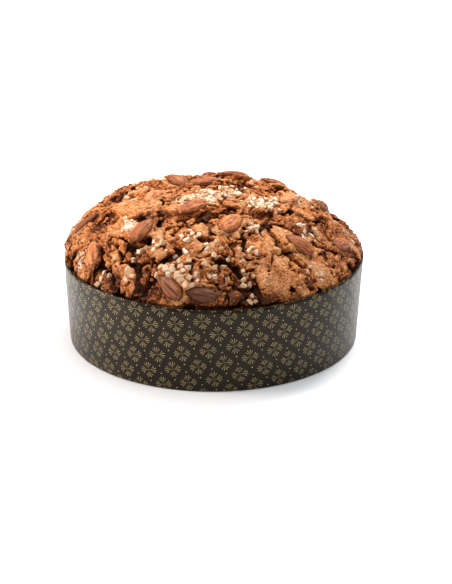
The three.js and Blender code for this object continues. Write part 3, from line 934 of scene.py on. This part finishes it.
def strewn_places(surface):
    """Each grain's place on the crust, outward normal and size, and whether it is glazed."""
    rng = np.random.default_rng(21)
    places = []

    def lay(start, size, glazed=False):
        outward = Vector(start - HEART).normalized()
        hit, normal, _, _ = surface.ray_cast(Vector(start) + outward * 16, -outward, 40)
        if hit is None:
            return False
        sunk = (Vector(start) - hit).dot(outward)
        if not glazed and math.hypot(hit.x, hit.y) > GRAINS_R:
            return False
        if glazed or (sunk < DEEPEST_GRAIN and normal.dot(outward) > 0.3):
            lie = (normal + outward * 1.2).normalized()
            places.append((np.array(hit), np.array(lie), size, glazed))
            return True
        return False

    for bearing, reach in GLAZED_BALLS:
        lay(dome_point(bearing, reach), 1.0, True)

    for name in SUGAR_NODES:
        middle = node_points(name).mean(0)
        if not lay(middle, 1.25):
            lay(middle + (1.5, 1.5, 0), 1.2)
    for bearing, reach, radius, count, size, _ in SUGAR:
        middle = dome_point(bearing, reach)
        laid = 0
        for _ in range(30 * count):
            if laid >= count:
                break
            spot = middle + rng.normal(size=3) * radius * 0.5
            turn = math.degrees(math.atan2(spot[0] + 2, -spot[1]))
            out = min(math.hypot(spot[0] + 2, spot[1]), 104)
            start = dome_point(turn, out)
            apart = (DENSE_GAP if count > DENSE_PATCH else GRAIN_GAP) * size
            if any(np.linalg.norm(start - place) < apart for place, *_ in places):
                continue
            beside = [seat for seat in SEATS.values() if np.linalg.norm(seat[0] - start) < 16]
            if any(almond_distance(start[None], seat, flat=True)[0][0] < size for seat in beside):
                continue
            laid += lay(start, size * rng.uniform(0.75, 1.15))
    return places


def make_sugar(crust):
    faces = [tuple(p.vertices) for p in crust.data.polygons]
    surface = BVHTree.FromPolygons((mesh_points(crust.data) * 1000).tolist(), faces)
    rng = np.random.default_rng(22)
    shapes = {True: rounded_block(2.2), False: rounded_block(4.0)}
    all_points, all_faces, shades = [], [], []
    total = 0
    for place, lie, size, glazed in strewn_places(surface):
        block, block_faces = shapes[glazed]
        half = np.array(BALL if glazed else GRAIN) / 2 * size
        half *= rng.uniform(0.85, 1.15, 3)
        shear = np.eye(3) + rng.normal(size=(3, 3)) * 0.1
        grain = (block * (1 + 0.1 * block @ rng.normal(size=(3, 1)))) * half @ shear
        grain += rng.normal(size=grain.shape) * 0.07
        spin = Matrix.Rotation(rng.uniform(0, 6.28), 3, "Z")
        spin @= Matrix.Rotation(rng.normal() * 0.5, 3, "X")
        stand = np.array(Vector(lie).to_track_quat("Z", "Y").to_matrix() @ spin)
        all_faces.append(block_faces + total)
        all_points.append(grain @ stand.T + place - lie * half[2] * 0.2)
        total += len(block)
        shades.append(np.full(len(block), -0.5 if glazed else rng.uniform(0, 1)))
    points, faces = np.concatenate(all_points), np.concatenate(all_faces)
    sugar = make_mesh("sugar_grains", points, faces, smooth_shading=False)
    add_attribute(sugar, "shade", np.concatenate(shades))
    return sugar


def sugar_material(sugar):
    tree, shader = new_material("pearl_sugar", sugar)
    place = object_place(tree)
    grit = noise_texture(tree, place, 1500, 3, 0.6)
    colour = ramp(
        tree, varied(tree, attribute(tree, "shade")["Fac"], grit, 0.6),
        [(0.0, (0.50, 0.23, 0.08)), (0.25, (0.66, 0.42, 0.24)), (0.6, (0.77, 0.58, 0.40)),
         (1.0, (0.86, 0.73, 0.57))],
    )
    # Lower on the dome the grains are darker: glaze run over them, and painted shade.
    glazed_and_shaded = remap(tree, split_vector(tree, place)["Z"], 0.102, 0.076, 0.0, 0.8)
    colour = blend_colours(tree, glazed_and_shaded, colour, (0.475, 0.295, 0.165))
    shader.inputs["Subsurface Weight"].default_value = 0.15
    shader.inputs["Subsurface Radius"].default_value = (0.002, 0.0013, 0.0009)
    dress(tree, shader, colour, bump(tree, grit, 0.0003, 0.6), roughness=0.45)


# ---- the paper mould ----
def wall_radius(z):
    """The outside of the wall at a height."""
    return MOULD_FOOT_R + (MOULD_RIM_R - MOULD_FOOT_R) * z / MOULD_HEIGHT


def make_wall():
    """The printed wall, its folded and toothed foot, and the lap at the back."""
    per_tooth = 12
    steps = TEETH * per_tooth
    lap_half = math.degrees(LAP_WIDTH / 2 / MOULD_FOOT_R)
    start = round((LAP_BEARING + lap_half - 360) / 360 * steps)
    bearings = (start + np.arange(steps)) * 360.0 / steps
    off_lap = np.abs((bearings - LAP_BEARING + 180) % 360 - 180)
    lap = np.where(off_lap < lap_half, LAP_RISE, 0.0)
    off_dip = (bearings - RIM_DIP_BEARING + 180) % 360 - 180
    top = MOULD_HEIGHT - RIM_DIP * np.exp(-((off_dip / RIM_DIP_SPREAD) ** 2))
    top -= 0.12 * (1 - np.cos(np.radians(bearings * 11))) * np.exp(-off_lap / 200)
    phase = (bearings * TEETH / 360) % 1
    notch = TOOTH_DEPTH * np.clip(1 - np.abs(phase - 0.5) * 4, 0, 1)
    ripple = 0.12 * np.sin(np.radians(bearings * 9))
    ripple += 0.08 * np.sin(np.radians(bearings * 23 + 40))
    ripple -= 0.2
    drawn_in = DRAWN_IN * swollen(bearings)

    # The section's corners all round: radii, heights, and whether they lie on the hidden side.
    foot, ground = wall_radius(0), 0 * top
    rows = [
        (foot - FOOT_ROUNDING + ground, ground, False),
        (foot - 0.3 * FOOT_ROUNDING + ground, 0.3 * FOOT_ROUNDING + ground, False),
    ]
    for level in np.linspace(0, 1, 22):
        z = FOOT_ROUNDING + level * (top - FOOT_ROUNDING)
        wave = ripple * level - drawn_in * level**3 + lap * (level < 0.999)
        rows.append((wall_radius(z) + wave, z, False))
    for level in (1.0, 0.97, 0.8, 0.5, 0.25, 0.0):
        z = PAPER + level * (top - PAPER)
        rows.append((wall_radius(z) - PAPER + ripple * level - drawn_in * level**3, z, True))
    flange = foot - FLANGE + notch
    rows += [
        (0.5 * (flange + foot), PAPER + ground, True),
        (flange, PAPER + ground, True),
        (flange, ground, True),
        (0.5 * (flange + foot - FOOT_ROUNDING), ground, True),
    ]
    turn = np.radians(bearings)
    points = np.stack(
        [np.stack([r * np.sin(turn), -r * np.cos(turn), z], -1) for r, z, _ in rows], 1
    )
    count = len(rows)
    i, j = np.meshgrid(np.arange(steps), np.arange(count), indexing="ij")
    i, j = i.ravel(), j.ravel()
    i2, j2 = (i + 1) % steps, (j + 1) % count
    faces = np.stack([i * count + j, i2 * count + j, i2 * count + j2, i * count + j2], 1)
    wall = make_mesh("paper_wall", points.reshape(-1, 3), faces)

    # Along the paper, in millimetres: round it and up it, for the print.
    arc = np.radians(np.append(bearings, bearings[0] + 360)) * PRINT_R
    path = np.stack([np.stack([r, z], -1) for r, z, _ in rows], 0)
    lengths = np.linalg.norm(np.diff(path, axis=0, append=path[:1]), axis=-1).mean(1)
    height = np.concatenate([[0], np.cumsum(lengths)])
    up = np.array([z.mean() for _, z, _ in rows] + [0.0])
    corners_i = np.stack([i, i + 1, i + 1, i], 1)
    corners_j = np.stack([j, j, j + 1, j + 1], 1)
    add_map(wall.data, "Print", np.stack([arc[corners_i], up[corners_j]], -1))
    add_attribute(wall, "hidden", np.tile([float(hidden) for _, _, hidden in rows], steps))

    # Three strips of the wall lie one over another in the baking layout, for a sharper print.
    strips = 3
    per_strip = steps // strips
    strip = i // per_strip
    u = (corners_i - (strip * per_strip)[:, None]) / per_strip
    v = (strip[:, None] + height[corners_j] / height[-1]) / strips
    add_map(wall.data, "OFBake", np.stack([0.003 + 0.994 * u, 0.002 + 0.996 * v], -1))
    return wall


def stroke(tree, point, start, end, width, swell):
    """How far point is inside a stroke that widens to its rounded end, in millimetres."""
    run = (end[0] - start[0], end[1] - start[1], 0)
    squared = run[0] ** 2 + run[1] ** 2
    offset = vector_maths(tree, "SUBTRACT", point, (*start, 0))
    dot = vector_maths(tree, "DOT_PRODUCT", offset, run, "Value")
    share = node(tree, "Clamp", {"Value": maths(tree, "DIVIDE", dot, squared)}).outputs[0]
    along = node(tree, "VectorMath", {0: run, "Scale": share}, operation="SCALE").outputs[0]
    off = vector_maths(tree, "DISTANCE", offset, along, "Value")
    return maths(tree, "SUBTRACT", added(tree, width, share, swell), off)


def motif(tree, x, y):
    """Ink of a snowflake of four fans of four strokes, with a dot over and one under it."""
    ax, ay = maths(tree, "ABSOLUTE", x), maths(tree, "ABSOLUTE", y)
    long, short = maths(tree, "MAXIMUM", ax, ay), maths(tree, "MINIMUM", ax, ay)
    folded = node(tree, "CombineXYZ", {"X": long, "Y": short}).outputs[0]
    mirrored = node(tree, "CombineXYZ", {"X": ax, "Y": ay}).outputs[0]
    ink = stroke(tree, folded, (2.3, 0.15), (5.45, 1.0), 0.05, 0.13)
    for point, *shape in (
        (folded, (1.9, 0.3), (4.2, 2.3), 0.05, 0.13), (folded, (1.0, 0.0), (2.6, 0.0), 0.12, -0.05),
        (mirrored, (0, 0), (2.4, 0), 0.1, 0.06),
    ):
        ink = maths(tree, "MAXIMUM", ink, stroke(tree, point, *shape))
    worn = remap(tree, long, 1.6, 4.4, 0.5, 1.0)
    fans = product(tree, remap(tree, ink, *PRINT_EDGE), worn)
    dots = remap(tree, stroke(tree, mirrored, (0, 8.2), (0, 8.3), 0.38, 0), *PRINT_EDGE)
    return maths(tree, "MAXIMUM", fans, dots)


def print_ink(tree, uv):
    """Ink of the print, from the place on the paper in millimetres."""
    moved = vector_maths(tree, "SUBTRACT", uv, (*PRINT_START, 0))
    turn = {"Vector": moved, "Angle": -PRINT_TURN}
    turned = node(tree, "VectorRotate", turn, rotation_type="Z_AXIS").outputs[0]
    inks = []
    for share in (0.5, 1.0):
        shift = (PRINT_CELL[0] * share, PRINT_CELL[1] * share, 0)
        places = split_vector(tree, vector_maths(tree, "ADD", turned, shift))
        across, up = (
            maths(tree, "SUBTRACT", maths(tree, "FLOORED_MODULO", place, side), side / 2)
            for place, side in zip(places, PRINT_CELL)
        )
        inks.append(motif(tree, across, up))
    return maths(tree, "MAXIMUM", *inks)


def paper_material(wall):
    tree, shader = new_material("printed_paper", wall)
    uv = node(tree, "UVMap", uv_map="Print").outputs["UV"]
    place = object_place(tree)
    fibres = noise_texture(tree, place, 420, 5, 0.7)
    blotches = noise_texture(tree, place, 38, 4, 0.6)
    ink = product(tree, print_ink(tree, uv), remap(tree, fibres, 0.25, 0.55, 0.6, 1.0))
    ink = product(tree, ink, maths(tree, "SUBTRACT", 1.0, attribute(tree, "hidden")["Fac"]))
    paper = ramp(
        tree, varied(tree, blotches, fibres, 0.6),
        [(0.2, (0.008, 0.0062, 0.004)), (0.5, (0.012, 0.0095, 0.0062)),
         (0.8, (0.019, 0.0145, 0.0095))],
    )
    colour = blend_colours(tree, ink, paper, (0.55, 0.44, 0.215))
    shader.inputs["Specular Tint"].default_value = (1.0, 0.79, 0.65, 1)
    flutes = product(tree, split_vector(tree, uv)["X"], 2 * math.pi / FLUTE)
    relief = bump(tree, maths(tree, "SINE", flutes), 0.00004, 0.5)
    relief = bump(tree, fibres, 0.00015, 0.6, relief)
    relief = bump(tree, blotches, 0.0015, 0.25, relief)
    dress(tree, shader, colour, relief, roughness=0.34, specular=0.17)


def base_material(base):
    tree, shader = new_material("base_paper", base)
    place = object_place(tree)
    fibres = noise_texture(tree, place, 380, 5, 0.7)
    flutes = node(
        tree, "TexWave", {"Vector": place, "Scale": 110, "Distortion": 0.4},
        wave_type="BANDS", bands_direction="X",
    ).outputs["Fac"]
    colour = ramp(tree, fibres, [(0.25, (0.045, 0.032, 0.025)), (0.75, (0.085, 0.063, 0.050))])
    relief = bump(tree, fibres, 0.0002, 0.5, bump(tree, flutes, 0.0004, 0.4))
    dress(tree, shader, colour, relief, roughness=0.8)


# ---- the whole ----
make_studio()

crust = make_crust()
crust_material(crust)
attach(crust, "root")
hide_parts("loaf")

for index, (name, seat) in enumerate(SEATS.items(), 1):
    almond = make_almond(index, seat)
    almond_material(almond, index)
    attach(almond, "root")
    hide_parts(name)

sugar = make_sugar(crust)
sugar_material(sugar)
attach(sugar, "root")
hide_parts(*SUGAR_NODES)

wall = make_wall()
paper_material(wall)
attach(wall, "root")
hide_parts("mould_wall")

base_material(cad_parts["mould_base"])
